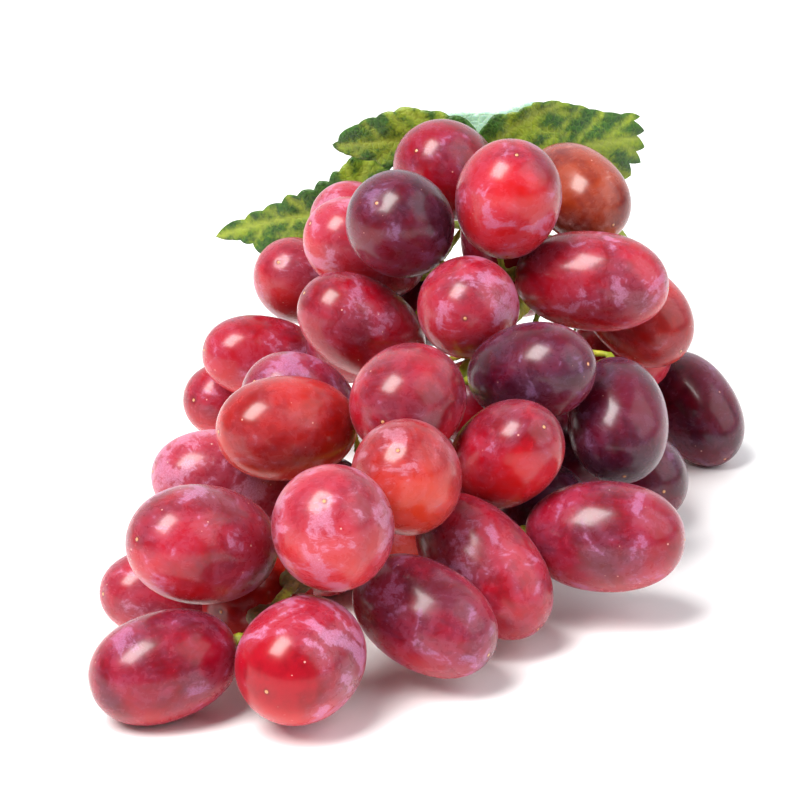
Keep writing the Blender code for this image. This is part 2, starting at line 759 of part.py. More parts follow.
def centre_on_floor(parent, pieces):
    """Move the parent so that the whole stands on z = 0, centred on the origin."""
    bpy.context.view_layer.update()
    corners = np.array(
        [piece.matrix_world @ vertex.co for piece in pieces for vertex in piece.data.vertices]
    )
    low, high = corners.min(axis=0), corners.max(axis=0)
    parent.location = (-(low[0] + high[0]) / 2, -(low[1] + high[1]) / 2, -low[2])


def build():
    for startup in list(bpy.data.objects):
        bpy.data.objects.remove(startup)
    skin = material("berry skin", (0.42, 0.03, 0.05), 0.32)
    bark = material("stem bark", (0.36, 0.33, 0.08), 0.6)
    blade = material("leaf blade", (0.08, 0.17, 0.03), 0.55)
    bunch = bpy.data.objects.new("bunch", None)
    bpy.context.scene.collection.objects.link(bunch)
    berries, stem = layout()
    tubes = branches(berries, stem)
    pieces = [berry_object(berry, skin, bunch) for berry in berries]
    pieces.append(stem_object(tubes, bark, bunch))
    pieces += [leaf_object(name, leaf, stem, blade, bunch) for name, leaf in LEAVES.items()]
    centre_on_floor(bunch, pieces)


build()
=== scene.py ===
"""The looks of a bunch of oblong red grapes: fine berries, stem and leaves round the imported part.

Lengths are in millimetres until a mesh is made, but those of the stage are in metres.  Picture
places are pixels of an 800 x 800 frame.
"""

import json
import math
import random
from typing import NamedTuple

import bpy
import numpy as np
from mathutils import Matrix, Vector, noise
from mathutils.geometry import delaunay_2d_cdt


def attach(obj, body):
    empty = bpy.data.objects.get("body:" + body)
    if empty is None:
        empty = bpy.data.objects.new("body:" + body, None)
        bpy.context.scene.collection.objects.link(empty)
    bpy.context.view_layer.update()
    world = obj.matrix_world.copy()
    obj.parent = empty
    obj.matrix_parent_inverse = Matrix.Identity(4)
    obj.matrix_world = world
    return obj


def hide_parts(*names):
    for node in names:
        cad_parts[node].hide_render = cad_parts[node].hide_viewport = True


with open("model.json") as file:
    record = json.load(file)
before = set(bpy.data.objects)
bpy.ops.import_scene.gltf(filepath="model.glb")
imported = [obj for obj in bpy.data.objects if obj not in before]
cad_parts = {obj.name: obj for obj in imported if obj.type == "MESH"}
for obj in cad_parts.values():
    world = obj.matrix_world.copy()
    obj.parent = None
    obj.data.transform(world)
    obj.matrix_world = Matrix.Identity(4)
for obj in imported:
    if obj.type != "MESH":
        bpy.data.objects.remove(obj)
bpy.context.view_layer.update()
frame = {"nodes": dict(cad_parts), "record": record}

MM = 0.001

# The viewpoint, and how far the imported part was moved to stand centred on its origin.
BUNCH_SHIFT = np.array([-10.1826, -7.5965, 0.0])
VIEW_TILT = math.radians(20.0)
FOCAL_PIXELS = 2548.0
PICTURE_SIZE = 800.0
SENSOR = 36.0
TARGET_DISTANCE = 520.0
TARGET_HEIGHT = 34.8
FORWARD = np.array([0.0, math.cos(VIEW_TILT), -math.sin(VIEW_TILT)])
RIGHT = np.array([1.0, 0.0, 0.0])
UP = np.array([0.0, math.sin(VIEW_TILT), math.cos(VIEW_TILT)])
CAMERA = np.array([0.0, 0.0, TARGET_HEIGHT]) - TARGET_DISTANCE * FORWARD + BUNCH_SHIFT


def unit(vector):
    return vector / np.linalg.norm(vector)


def srgb(red, green, blue):
    """A display colour, 0 to 255, as linear values."""
    shares = np.array([red, green, blue]) / 255.0
    linear = np.where(shares <= 0.04045, shares / 12.92, ((shares + 0.055) / 1.055) ** 2.4)
    return tuple(float(value) for value in linear)


def from_picture(x, y, distance):
    across = (x - PICTURE_SIZE / 2) / FOCAL_PIXELS
    down = (y - PICTURE_SIZE / 2) / FOCAL_PIXELS
    return CAMERA + distance * (FORWARD + across * RIGHT - down * UP)


def node_points(node):
    """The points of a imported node, repeats made one, and its triangles."""
    mesh = frame["nodes"][node].data
    mesh.calc_loop_triangles()
    points = np.empty(len(mesh.vertices) * 3, np.float32)
    mesh.vertices.foreach_get("co", points)
    corners = np.empty(len(mesh.loop_triangles) * 3, np.int32)
    mesh.loop_triangles.foreach_get("vertices", corners)
    points = points.reshape(-1, 3).astype(float) / MM
    _, first, index = np.unique(np.round(points, 3), axis=0, return_index=True, return_inverse=True)
    return points[first], index.reshape(-1)[corners].reshape(-1, 3)


def add_piece(name, mesh, material):
    piece = bpy.data.objects.new(name, mesh)
    mesh.materials.append(material)
    mesh.shade_smooth()
    bpy.context.scene.collection.objects.link(piece)
    return piece


# Shader helpers.
class Shader:
    """A material's node tree, with short ways to add nodes to it."""

    def __init__(self, name):
        self.material = bpy.data.materials.new(name)
        self.material.use_nodes = True
        self.tree = self.material.node_tree
        self.surface = self.tree.nodes["Principled BSDF"]

    def link(self, source, target):
        self.tree.links.new(source, target)

    def add(self, kind, inputs=None, **settings):
        made = self.tree.nodes.new(kind)
        for setting, value in settings.items():
            setattr(made, setting, value)
        for socket, value in (inputs or {}).items():
            if isinstance(value, bpy.types.NodeSocket):
                self.link(value, made.inputs[socket])
            else:
                made.inputs[socket].default_value = value
        return made

    def maths(self, operation, first, second=0.0, clamp=False):
        made = self.add("ShaderNodeMath", {0: first, 1: second}, operation=operation, use_clamp=clamp)
        return made.outputs[0]

    def smooth(self, value, low, high, to_low=0.0, to_high=1.0):
        inputs = {"Value": value, "From Min": low, "From Max": high, "To Min": to_low, "To Max": to_high}
        return self.add("ShaderNodeMapRange", inputs, interpolation_type="SMOOTHSTEP").outputs["Result"]

    def mix(self, share, first, second):
        made = self.add("ShaderNodeMix", data_type="RGBA")
        for socket, value in ((made.inputs[0], share), (made.inputs[6], first), (made.inputs[7], second)):
            if isinstance(value, bpy.types.NodeSocket):
                self.link(value, socket)
            elif isinstance(value, tuple):
                socket.default_value = (*value, 1.0)
            else:
                socket.default_value = value
        return made.outputs[2]

    def vector(self, operation, first, second):
        made = self.add("ShaderNodeVectorMath", {0: first, 1: second}, operation=operation)
        return made.outputs[0]

    def noise(self, place, scale, detail=2.0, roughness=0.5, distortion=0.0):
        inputs = {
            "Vector": place,
            "Scale": scale,
            "Detail": detail,
            "Roughness": roughness,
            "Distortion": distortion,
        }
        return self.add("ShaderNodeTexNoise", inputs).outputs["Fac"]

    def millimetres(self):
        """The object's own coordinates in millimetres."""
        own = self.add("ShaderNodeTexCoord").outputs["Object"]
        return self.vector("MULTIPLY", own, (1 / MM, 1 / MM, 1 / MM))

    def finish(self, values):
        for socket, value in values.items():
            if isinstance(value, bpy.types.NodeSocket):
                self.link(value, self.surface.inputs[socket])
            else:
                self.surface.inputs[socket].default_value = value
        return self.material


# Berries.
FULLNESS = 2.12
EGG = 0.03
AROUND = 72
MIDDLE_RINGS = 38
END_RINGS = (0.15, 0.3, 0.45, 0.65, 0.9, 1.2, 1.6, 2.1, 2.7)
POLE_TRIANGLES = 12
TIP_DIP_DEPTH = 0.12
TIP_DIP_WIDTH = 1.2
SCAR_HEIGHT = 0.14
SCAR_WIDTH = 0.28
STEM_DIP_DEPTH = 0.5
STEM_DIP_WIDTH = 2.4
LUMPS = ((0.055, 0.2), (0.16, 0.05))
LUMP_SHIFT = (17.0, 5.0)
LUMP_STRETCH = np.array([1.0, 1.0, 1.4])
FLOOR_CLEAR = 0.02
SPECK_SCALE = 0.36
SPECK_COLOUR = (226, 168, 158)
TIP_RING_COLOUR = (96, 20, 16)
SCAR_COLOUR = (214, 156, 112)
STEM_END_COLOUR = (196, 120, 74)
SHEEN_COLOUR = (236, 216, 240)
SKIN_IOR = 1.37
GLOW_SHARE = 0.25
GLOW_DEPTH = 3.5


class Form(NamedTuple):
    """A berry's middle, its tip's direction and its size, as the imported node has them."""

    centre: np.ndarray
    tip: np.ndarray
    length: float
    width: float


# A tone's glow colour is painted light: a brighter, more orange red laid on a berry's lower side, as if light
# shone through the skin.
class Tone(NamedTuple):
    deep: tuple
    bright: tuple
    painted_glow: tuple
    bloom: tuple


TONES = {
    "red": Tone((118, 0, 18), (164, 2, 26), (204, 16, 10), (208, 146, 188)),
    "orange": Tone((136, 6, 10), (174, 24, 14), (214, 54, 6), (206, 144, 168)),
    "pink": Tone((132, 8, 30), (170, 26, 46), (200, 32, 22), (208, 148, 182)),
    "crimson": Tone((96, 0, 18), (142, 0, 28), (182, 6, 14), (196, 134, 182)),
    "purple": Tone((58, 0, 18), (94, 0, 28), (128, 2, 20), (158, 116, 162)),
    "amber": Tone((104, 10, 10), (150, 54, 24), (194, 112, 30), (200, 150, 146)),
}


class Look(NamedTuple):
    """A berry's tone, its bloom, how far the bloom keeps off its tip, and its noise seed."""

    tone: str
    bloom: float
    bare_tip: float
    seed: int


LOOKS = {
    "berry_top": Look("crimson", 0.42, 0.0, 1),
    "berry_crown": Look("red", 0.7, 0.1, 2),
    "berry_crown_right": Look("amber", 0.5, 0.0, 3),
    "berry_crown_left": Look("purple", 0.55, 0.0, 4),
    "berry_under_crown": Look("pink", 0.8, 0.0, 5),
    "berry_behind_crown": Look("pink", 0.8, 0.0, 6),
    "berry_left_high": Look("pink", 0.75, 0.0, 7),
    "berry_shoulder_right": Look("red", 0.6, 0.0, 8),
    "berry_shoulder_back": Look("orange", 0.35, 0.0, 9),
    "berry_middle": Look("red", 0.75, 0.0, 10),
    "berry_middle_left": Look("red", 0.45, 0.0, 11),
    "berry_left_back": Look("red", 0.55, 0.0, 12),
    "berry_left_low": Look("red", 0.5, 0.0, 13),
    "berry_left_purple": Look("crimson", 0.75, 0.0, 14),
    "berry_left_bright": Look("orange", 0.3, 0.0, 15),
    "berry_centre": Look("red", 0.4, 0.0, 16),
    "berry_front_high": Look("orange", 0.6, 0.0, 17),
    "berry_dark_middle": Look("purple", 0.45, 0.0, 18),
    "berry_centre_right": Look("red", 0.35, 0.0, 19),
    "berry_dark_right": Look("purple", 0.5, 0.0, 20),
    "berry_far_right": Look("purple", 0.4, 0.0, 21),
    "berry_right_low": Look("crimson", 0.5, 0.0, 22),
    "berry_right_under": Look("purple", 0.35, 0.0, 23),
    "berry_right_shade": Look("purple", 0.3, 0.0, 24),
    "berry_left_pink": Look("pink", 0.9, 0.0, 25),
    "berry_left_front": Look("red", 0.65, 0.0, 26),
    "berry_front": Look("pink", 0.7, 0.0, 27),
    "berry_left_floor": Look("pink", 0.5, 0.0, 28),
    "berry_tip_left": Look("crimson", 0.5, 0.1, 29),
    "berry_tip_front": Look("red", 1.0, 0.6, 30),
    "berry_tip_right": Look("crimson", 0.65, 0.0, 31),
    "berry_front_right": Look("red", 0.55, 0.0, 32),
    "berry_tip_under": Look("orange", 0.2, 0.0, 33),
    "berry_sliver_right": Look("red", 0.2, 0.0, 34),
    "berry_behind_middle": Look("purple", 0.3, 0.0, 35),
    "berry_behind_shoulder": Look("crimson", 0.2, 0.0, 36),
    "berry_behind_centre": Look("crimson", 0.2, 0.0, 37),
    "berry_under_centre": Look("purple", 0.2, 0.0, 38),
}
HIDDEN_TONES = {"berry_red": ("red", "crimson", "orange", "pink"), "berry_purple": ("purple",)}
HIDDEN_BLOOM = (0.3, 0.6)
HIDDEN_FIRST_SEED = 60
SLOTS = {part["node"]: part["material_slot"] for part in frame["record"]["subparts"]}
BERRIES = sorted(node for node in frame["nodes"] if node.startswith("berry_"))


def berry_form(node, stem):
    """Read a berry's form from its node: its poles are where most triangles meet."""
    points, triangles = node_points(node)
    meeting = np.bincount(triangles.reshape(-1), minlength=len(points))
    poles = np.flatnonzero(meeting >= POLE_TRIANGLES)
    apart = np.linalg.norm(points[poles][:, None, :] - points[poles][None, :, :], axis=2)
    one, two = (points[poles[index]] for index in np.unravel_index(apart.argmax(), apart.shape))
    if np.linalg.norm(stem - one, axis=1).min() > np.linalg.norm(stem - two, axis=1).min():
        one, two = two, one
    centre = (one + two) / 2
    tip = unit(two - one)
    off = points - centre
    out = np.linalg.norm(off - np.outer(off @ tip, tip), axis=1)
    return Form(centre, tip, float(np.linalg.norm(two - one)), 2 * float(out.max()))


def berry_turn(form):
    """The rotation that takes a berry's own Z to its tip, with its own X as low as it can be."""
    low = unit(np.array([0.0, 0.0, -1.0]) + form.tip[2] * form.tip)
    return np.column_stack([low, np.cross(form.tip, low), form.tip])


def berry_side(form):
    """Rings of a berry's side from its stem end to its tip, as (along, out)."""
    ends = np.arcsin((np.array(END_RINGS) / (form.width / 2)) ** (FULLNESS / 2))
    step = ends[-1] - ends[-2]
    middle = np.linspace(ends[-1] + step, math.pi - ends[-1] - step, MIDDLE_RINGS)
    turn = np.concatenate([ends, middle, math.pi - ends[::-1]])
    along = -np.sign(np.cos(turn)) * np.abs(np.cos(turn)) ** (2 / FULLNESS) * form.length / 2
    out = np.abs(np.sin(turn)) ** (2 / FULLNESS) * form.width / 2
    out = out * (1 + EGG * along / (form.length / 2))
    at_tip = along > 0
    dip = TIP_DIP_DEPTH * np.exp(-((out / TIP_DIP_WIDTH) ** 2))
    scar = SCAR_HEIGHT * np.exp(-((out / SCAR_WIDTH) ** 4))
    hollow = STEM_DIP_DEPTH * np.exp(-((out / STEM_DIP_WIDTH) ** 2))
    along = along + np.where(at_tip, scar - dip, hollow)
    return along, out


def berry_mesh(name, form, seed):
    along, out = berry_side(form)
    turns = np.arange(AROUND) * 2 * math.pi / AROUND
    rings = np.stack(
        [
            out[:, None] * np.cos(turns)[None, :],
            out[:, None] * np.sin(turns)[None, :],
            np.repeat(along[:, None], AROUND, axis=1),
        ],
        axis=2,
    ).reshape(-1, 3)
    poles = np.array(
        [
            [0.0, 0.0, -form.length / 2 + STEM_DIP_DEPTH],
            [0.0, 0.0, form.length / 2 + SCAR_HEIGHT - TIP_DIP_DEPTH],
        ]
    )
    points = np.vstack([rings, poles])
    shift = Vector((LUMP_SHIFT[0] * seed, LUMP_SHIFT[1] * seed, 0.0))
    moved = []
    for point in points:
        place = Vector(point)
        lump = sum(height * noise.noise(place * pitch + shift) for pitch, height in LUMPS)
        moved.append(point + lump * unit(point / LUMP_STRETCH))
    turn = berry_turn(form)
    world = np.array(moved) @ turn.T + form.centre
    world[:, 2] = np.maximum(world[:, 2], FLOOR_CLEAR)
    own = (world - form.centre) @ turn
    count = len(along)
    faces = []
    for ring in range(count - 1):
        for number in range(AROUND):
            after = (number + 1) % AROUND
            a = ring * AROUND
            b = a + AROUND
            faces.append((a + number, a + after, b + after, b + number))
    bottom = count * AROUND
    last = (count - 1) * AROUND
    for number in range(AROUND):
        after = (number + 1) % AROUND
        faces.append((bottom, after, number))
        faces.append((bottom + 1, last + number, last + after))
    mesh = bpy.data.meshes.new(name)
    mesh.from_pydata((world * MM).tolist(), [], faces)
    values = own.astype(np.float32).ravel()
    mesh.attributes.new("own", "FLOAT_VECTOR", "POINT").data.foreach_set("vector", values)
    return mesh


def skin_material(name, look, form):
    """Grape skin: mottled colour, a painted glow low down as if light shone through the skin, patchy bloom,
    pale specks and a tip scar.
    """
    shader = Shader(name)
    tone = TONES[look.tone]
    deep, bright, painted_glow, bloom = (srgb(*colour) for colour in tone)
    place = shader.add("ShaderNodeAttribute", attribute_name="own").outputs["Vector"]
    split = shader.add("ShaderNodeSeparateXYZ", {0: place})
    low, side, along = split.outputs
    out = shader.maths(
        "SQRT", shader.maths("ADD", shader.maths("MULTIPLY", low, low), shader.maths("MULTIPLY", side, side))
    )
    offset = (31.0 * look.seed, 7.0 * look.seed, 3.0 * look.seed)
    drawn = shader.vector("ADD", place, offset)

    broad = shader.noise(drawn, 0.07, 2.0, 0.5, 0.4)
    mottle = shader.noise(drawn, 0.42, 5.0, 0.62, 0.3)
    lengthways = shader.vector("MULTIPLY", drawn, (1.0, 1.0, 0.14))
    fibres = shader.noise(lengthways, 0.9, 3.0, 0.6)
    shade = shader.maths("ADD", shader.maths("MULTIPLY", broad, 0.75), shader.maths("MULTIPLY", mottle, 0.3))
    shade = shader.maths("ADD", shade, shader.maths("MULTIPLY", fibres, 0.12))
    lowness = shader.maths("DIVIDE", low, form.width / 2)
    skin = shader.mix(shader.smooth(shade, 0.45, 0.7), deep, bright)
    # Painted light: the brighter glow colour grows towards the berry's lower side, as light shining through
    # the skin; broad noise makes its reach uneven, like a random change of tone.
    painted_glow_mask = shader.maths("ADD", lowness, shader.maths("MULTIPLY", broad, 0.8))
    skin = shader.mix(shader.smooth(painted_glow_mask, 0.35, 1.35, 0.0, 0.85), skin, painted_glow)

    patches = shader.noise(drawn, 0.11, 3.0, 0.55, 1.2)
    smears = shader.noise(shader.vector("MULTIPLY", drawn, (1.0, 0.45, 0.8)), 0.55, 8.0, 0.7, 0.9)
    powder = shader.noise(drawn, 3.5, 5.0, 0.75)
    tipness = shader.maths("DIVIDE", along, form.length / 2)
    amount = shader.maths("MULTIPLY", patches, 0.72)
    amount = shader.maths("ADD", amount, shader.maths("MULTIPLY", smears, 0.42))
    bare = shader.maths("MULTIPLY", shader.smooth(tipness, 0.55, 0.85), look.bare_tip * 0.5)
    amount = shader.maths("SUBTRACT", amount, bare)
    edge = 0.77 - 0.22 * look.bloom
    veil = shader.smooth(amount, edge - 0.035, edge + 0.06)
    veil = shader.maths("MULTIPLY", veil, shader.smooth(powder, 0.35, 0.65, 0.5, 1.0))
    thin = shader.smooth(amount, edge - 0.25, edge + 0.1, 0.0, 0.14)
    cover = shader.maths("MAXIMUM", shader.maths("MULTIPLY", veil, 0.4 + 0.26 * look.bloom), thin)
    colour = shader.mix(cover, skin, bloom)

    speck_cells = shader.add(
        "ShaderNodeTexVoronoi", {"Vector": drawn, "Scale": SPECK_SCALE, "Randomness": 1.0}, feature="F1"
    )
    speck_size = shader.add("ShaderNodeSeparateColor", {0: speck_cells.outputs["Color"]}).outputs[0]
    speck_reach = shader.smooth(speck_size, 0.3, 1.0, 0.025, 0.07)
    speck = shader.smooth(
        shader.maths("SUBTRACT", speck_cells.outputs["Distance"], speck_reach), -0.012, 0.012, 1.0, 0.0
    )
    speck = shader.maths("MULTIPLY", speck, shader.smooth(speck_size, 0.3, 0.42))
    colour = shader.mix(shader.maths("MULTIPLY", speck, 0.8), colour, srgb(*SPECK_COLOUR))

    at_tip = shader.smooth(along, 0.0, 2.0)
    ring = shader.maths("MULTIPLY", shader.smooth(out, 0.35, 0.9, 1.0, 0.0), at_tip)
    colour = shader.mix(shader.maths("MULTIPLY", ring, 0.6), colour, srgb(*TIP_RING_COLOUR))
    scar = shader.maths("MULTIPLY", shader.smooth(out, 0.24, 0.42, 1.0, 0.0), at_tip)
    colour = shader.mix(scar, colour, srgb(*SCAR_COLOUR))
    at_stem = shader.smooth(out, 1.5, 4.5, 1.0, 0.0)
    at_stem = shader.maths("MULTIPLY", at_stem, shader.smooth(along, -2.0, 0.0, 1.0, 0.0))
    colour = shader.mix(shader.maths("MULTIPLY", at_stem, 0.7), colour, srgb(*STEM_END_COLOUR))

    gloss = shader.maths("ADD", shader.maths("MULTIPLY", cover, 0.35), 0.25)
    gloss = shader.maths("ADD", gloss, shader.maths("MULTIPLY", shader.maths("SUBTRACT", mottle, 0.5), 0.12))
    height = shader.maths("ADD", shader.maths("MULTIPLY", mottle, 0.25), shader.maths("MULTIPLY", veil, 0.12))
    height = shader.maths("ADD", height, shader.maths("MULTIPLY", speck, 0.2))
    bump = shader.add("ShaderNodeBump", {"Strength": 0.22, "Distance": 0.25 * MM, "Height": height})
    return shader.finish(
        {
            "Base Color": colour,
            "Roughness": gloss,
            "IOR": SKIN_IOR,
            "Subsurface Weight": GLOW_SHARE,
            "Subsurface Radius": (1.0, 0.2, 0.1),
            "Subsurface Scale": GLOW_DEPTH * MM,
            "Coat Weight": 0.2,
            "Coat Roughness": 0.13,
            "Sheen Weight": 0.06,
            "Sheen Roughness": 0.4,
            "Sheen Tint": (*srgb(*SHEEN_COLOUR), 1.0),
            "Normal": bump.outputs[0],
        }
    )


def hidden_look(node, number):
    draw = random.Random(number)
    tone = draw.choice(HIDDEN_TONES[SLOTS[node]])
    return Look(tone, draw.uniform(*HIDDEN_BLOOM), 0.0, HIDDEN_FIRST_SEED + number)


def add_berries(stem):
    forms = {}
    for number, node in enumerate(BERRIES):
        form = berry_form(node, stem)
        look = LOOKS.get(node) or hidden_look(node, number)
        mesh = berry_mesh(f"{node}_fruit", form, look.seed)
        piece = add_piece(f"{node}_fruit", mesh, skin_material(f"{node}_skin", look, form))
        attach(piece, "root")
        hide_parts(node)
        forms[node] = form
    return forms


# Stem.
STEM_VOXEL = 0.3
STEM_SMOOTHING = 6
STEM_SMOOTHING_SHARE = 0.5
BALL_RINGS = 8
BALL_AROUND = 12
CAP_RADIUS = 1.75
CAP_THICKNESS = 1.3
CAP_INSET = 0.1
CAP_KNOT = 1.6
BARK_BUMPS = ((0.9, 0.16), (2.2, 0.07))

# Knobs on the stem as (picture x, picture y, distance, radius), and how each one is shaped.
KNOBS = ((238, 627, 478, 3.4), (271, 590, 486, 3.6), (292, 574, 492, 2.8), (455, 372, 535, 2.0))
KNOB_SHAPE = np.array([1.0, 0.8, 0.7])
KNOB_KNOT = 1.3
KNOB_OFF_AXIS = 0.4


def evaluated_mesh(piece):
    graph = bpy.context.evaluated_depsgraph_get()
    graph.update()
    return bpy.data.meshes.new_from_object(piece.evaluated_get(graph))


def ball(centre, radii, turn, points, faces):
    """Add an egg-shaped ball's points and faces to the lists."""
    rings, around = BALL_RINGS, BALL_AROUND
    start = len(points)
    for ring in range(1, rings):
        polar = math.pi * ring / rings
        for number in range(around):
            angle = 2 * math.pi * number / around
            flat = math.sin(polar)
            own = np.array([flat * math.cos(angle), flat * math.sin(angle), math.cos(polar)]) * radii
            points.append(centre + turn @ own)
    points.append(centre + turn @ (np.array([0.0, 0.0, 1.0]) * radii))
    points.append(centre - turn @ (np.array([0.0, 0.0, 1.0]) * radii))
    top, bottom = len(points) - 2, len(points) - 1
    for ring in range(rings - 2):
        for number in range(around):
            after = (number + 1) % around
            a = start + ring * around
            b = a + around
            faces.append((a + number, b + number, b + after, a + after))
    last = start + (rings - 2) * around
    for number in range(around):
        after = (number + 1) % around
        faces.append((top, start + number, start + after))
        faces.append((bottom, last + after, last + number))


def stem_material():
    """Green bark, brown where the knot attribute is high, with fine warts."""
    shader = Shader("stem_bark")
    place = shader.millimetres()
    knot = shader.add("ShaderNodeAttribute", attribute_name="knot").outputs["Fac"]
    broad = shader.noise(place, 0.16, 3.0, 0.55, 0.4)
    fine = shader.noise(place, 1.3, 5.0, 0.62)
    green = shader.mix(shader.smooth(broad, 0.38, 0.62), srgb(128, 142, 24), srgb(182, 176, 48))
    brown = shader.mix(shader.smooth(fine, 0.35, 0.65), srgb(74, 46, 18), srgb(128, 88, 34))
    worn = shader.maths("ADD", knot, shader.maths("MULTIPLY", shader.maths("SUBTRACT", fine, 0.5), 1.1))
    worn = shader.maths("ADD", worn, shader.maths("MULTIPLY", shader.maths("SUBTRACT", broad, 0.5), 0.9))
    colour = shader.mix(shader.smooth(worn, 0.2, 0.75), green, brown)
    warts = shader.add("ShaderNodeTexVoronoi", {"Vector": place, "Scale": 1.4}, feature="F1")
    wart = shader.smooth(warts.outputs["Distance"], 0.1, 0.22, 1.0, 0.0)
    colour = shader.mix(shader.maths("MULTIPLY", wart, 0.55), colour, srgb(112, 74, 36))
    height = shader.maths("ADD", shader.maths("MULTIPLY", fine, 0.6), shader.maths("MULTIPLY", wart, 0.5))
    bump = shader.add("ShaderNodeBump", {"Strength": 0.5, "Distance": 0.3 * MM, "Height": height})
    return shader.finish(
        {
            "Base Color": colour,
            "Roughness": shader.smooth(fine, 0.2, 0.8, 0.45, 0.7),
            "Subsurface Weight": 0.2,
            "Subsurface Radius": (1.0, 0.7, 0.25),
            "Subsurface Scale": 1.0 * MM,
            "Normal": bump.outputs[0],
        }
    )


def add_stem(forms, stem):
    points, triangles = node_points("stem")
    points = list(points)
    faces = [tuple(triangle) for triangle in triangles.tolist()]
    knots = []
    for form in forms.values():
        turn = berry_turn(form)
        centre = form.centre - form.tip * (form.length / 2 - STEM_DIP_DEPTH + CAP_THICKNESS / 2 - CAP_INSET)
        ball(centre, np.array([CAP_RADIUS, CAP_RADIUS, CAP_THICKNESS]), turn, points, faces)
        knots.append((centre, CAP_KNOT))
    for x, y, distance, size in KNOBS:
        guess = from_picture(x, y, distance)
        near = stem[np.linalg.norm(stem - guess, axis=1).argmin()]
        off = guess - near
        centre = near + off * min(1.0, KNOB_OFF_AXIS / max(KNOB_OFF_AXIS, np.linalg.norm(off)))
        ball(centre, size * KNOB_SHAPE, np.eye(3), points, faces)
        knots.append((centre, size * KNOB_KNOT))
    mesh = bpy.data.meshes.new("stem_rough")
    mesh.from_pydata([(point * MM).tolist() for point in points], [], faces)
    rough = bpy.data.objects.new("stem_rough", mesh)
    bpy.context.scene.collection.objects.link(rough)
    remesh = rough.modifiers.new("remesh", "REMESH")
    remesh.mode = "VOXEL"
    remesh.voxel_size = STEM_VOXEL * MM
    soften = rough.modifiers.new("soften", "SMOOTH")
    soften.factor = STEM_SMOOTHING_SHARE
    soften.iterations = STEM_SMOOTHING
    fine = evaluated_mesh(rough)
    bpy.data.objects.remove(rough)
    fine.name = "stem_branches"
    count = len(fine.vertices)
    places = np.empty(count * 3, np.float32)
    normals = np.empty(count * 3, np.float32)
    fine.vertices.foreach_get("co", places)
    fine.vertices.foreach_get("normal", normals)
    places = places.reshape(-1, 3) / MM
    closeness = np.zeros(count)
    for centre, reach in knots:
        away = np.linalg.norm(places - centre, axis=1)
        closeness = np.maximum(closeness, np.exp(-((away / reach) ** 2)))
    rises = [
        sum(height * noise.noise(Vector(place) * pitch) for pitch, height in BARK_BUMPS)
        for place in places.tolist()
    ]
    moved = places + normals.reshape(-1, 3) * (np.array(rises) * (1 + closeness))[:, None]
    fine.vertices.foreach_set("co", (moved * MM).astype(np.float32).ravel())
    fine.attributes.new("knot", "FLOAT", "POINT").data.foreach_set("value", closeness.astype(np.float32))
    fine.update()
    piece = add_piece("stem_branches", fine, stem_material())
    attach(piece, "root")
    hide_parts("stem")


# Leaves.
LEAF_TOP_STEP = 0.9
LEAF_EDGE_STEP = 0.7
LEAF_THICKNESS = 0.45
RULED_TOOTH = 0.22
MAIN_STEM_RADIUS = 2.7
STALK_RADIUS = 1.1
STALK_STEPS = 24
STALK_AROUND = 12
LEAF_WAVES = 7
LEAF_WAVE_RADIUS = 30.0
VEIN_RELIEF = 0.35
VEIN_POINTS = 28
VEIN_END = 0.97
VEIN_BEND = 0.035
PUCKER = 0.45
PUCKER_REACH = 2.2
LEAF_LUMP_PITCH = 0.22
LEAF_LUMP_HEIGHT = 0.35
TOOTH_PLACE = 0.45
SIDE_SWELL = 0.07
SIDE_VEIN_GAP = 7.5
SIDE_VEIN_ANGLE = math.radians(48.0)
SIDE_VEIN_POINTS = 12
SIDE_VEIN_END = 0.93
SIDE_VEIN_LONGEST = 24.0
SIDE_VEIN_CURL = 0.12
SIDE_VEIN_STRENGTH = 0.55

# Where a leaf's stalk leaves the blade, how it bends, and how it widens into the stem.
STALK_SINK = 0.2
STALK_BEND = 9.0
STALK_DROP = 3.0
STALK_GAP = 0.5
STALK_TUCK = 1.2
STALK_FLARE = np.array([1.1, 1.25, 1.4, 1.5])

# The middle line of the main stem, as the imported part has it.
MAIN_STEM = np.array(
    [
        [53.0, 92.0, 35.0],
        [45.0, 78.0, 38.0],
        [34.0, 60.0, 41.0],
        [24.0, 36.0, 41.0],
        [14.0, 12.0, 37.0],
        [2.0, -12.0, 30.0],
        [-8.0, -32.0, 23.0],
        [-18.0, -48.0, 17.5],
        [-28.0, -63.0, 11.5],
    ]
)


class Leaf(NamedTuple):
    """A leaf: where its stalk joins, how it stands, its margin in the picture, and its stalk.

    A margin point is (picture x, picture y), or (picture x, picture y, teeth) where the stretch
    that ends there is hidden and carries that many even teeth.
    """

    joint_x: float
    joint_y: float
    distance: float
    lean: float
    swing: float
    margin: tuple
    bow_across: float
    bow_up: float
    ripple: float
    stalk_place: int
    stalk_side: tuple
    veins: tuple


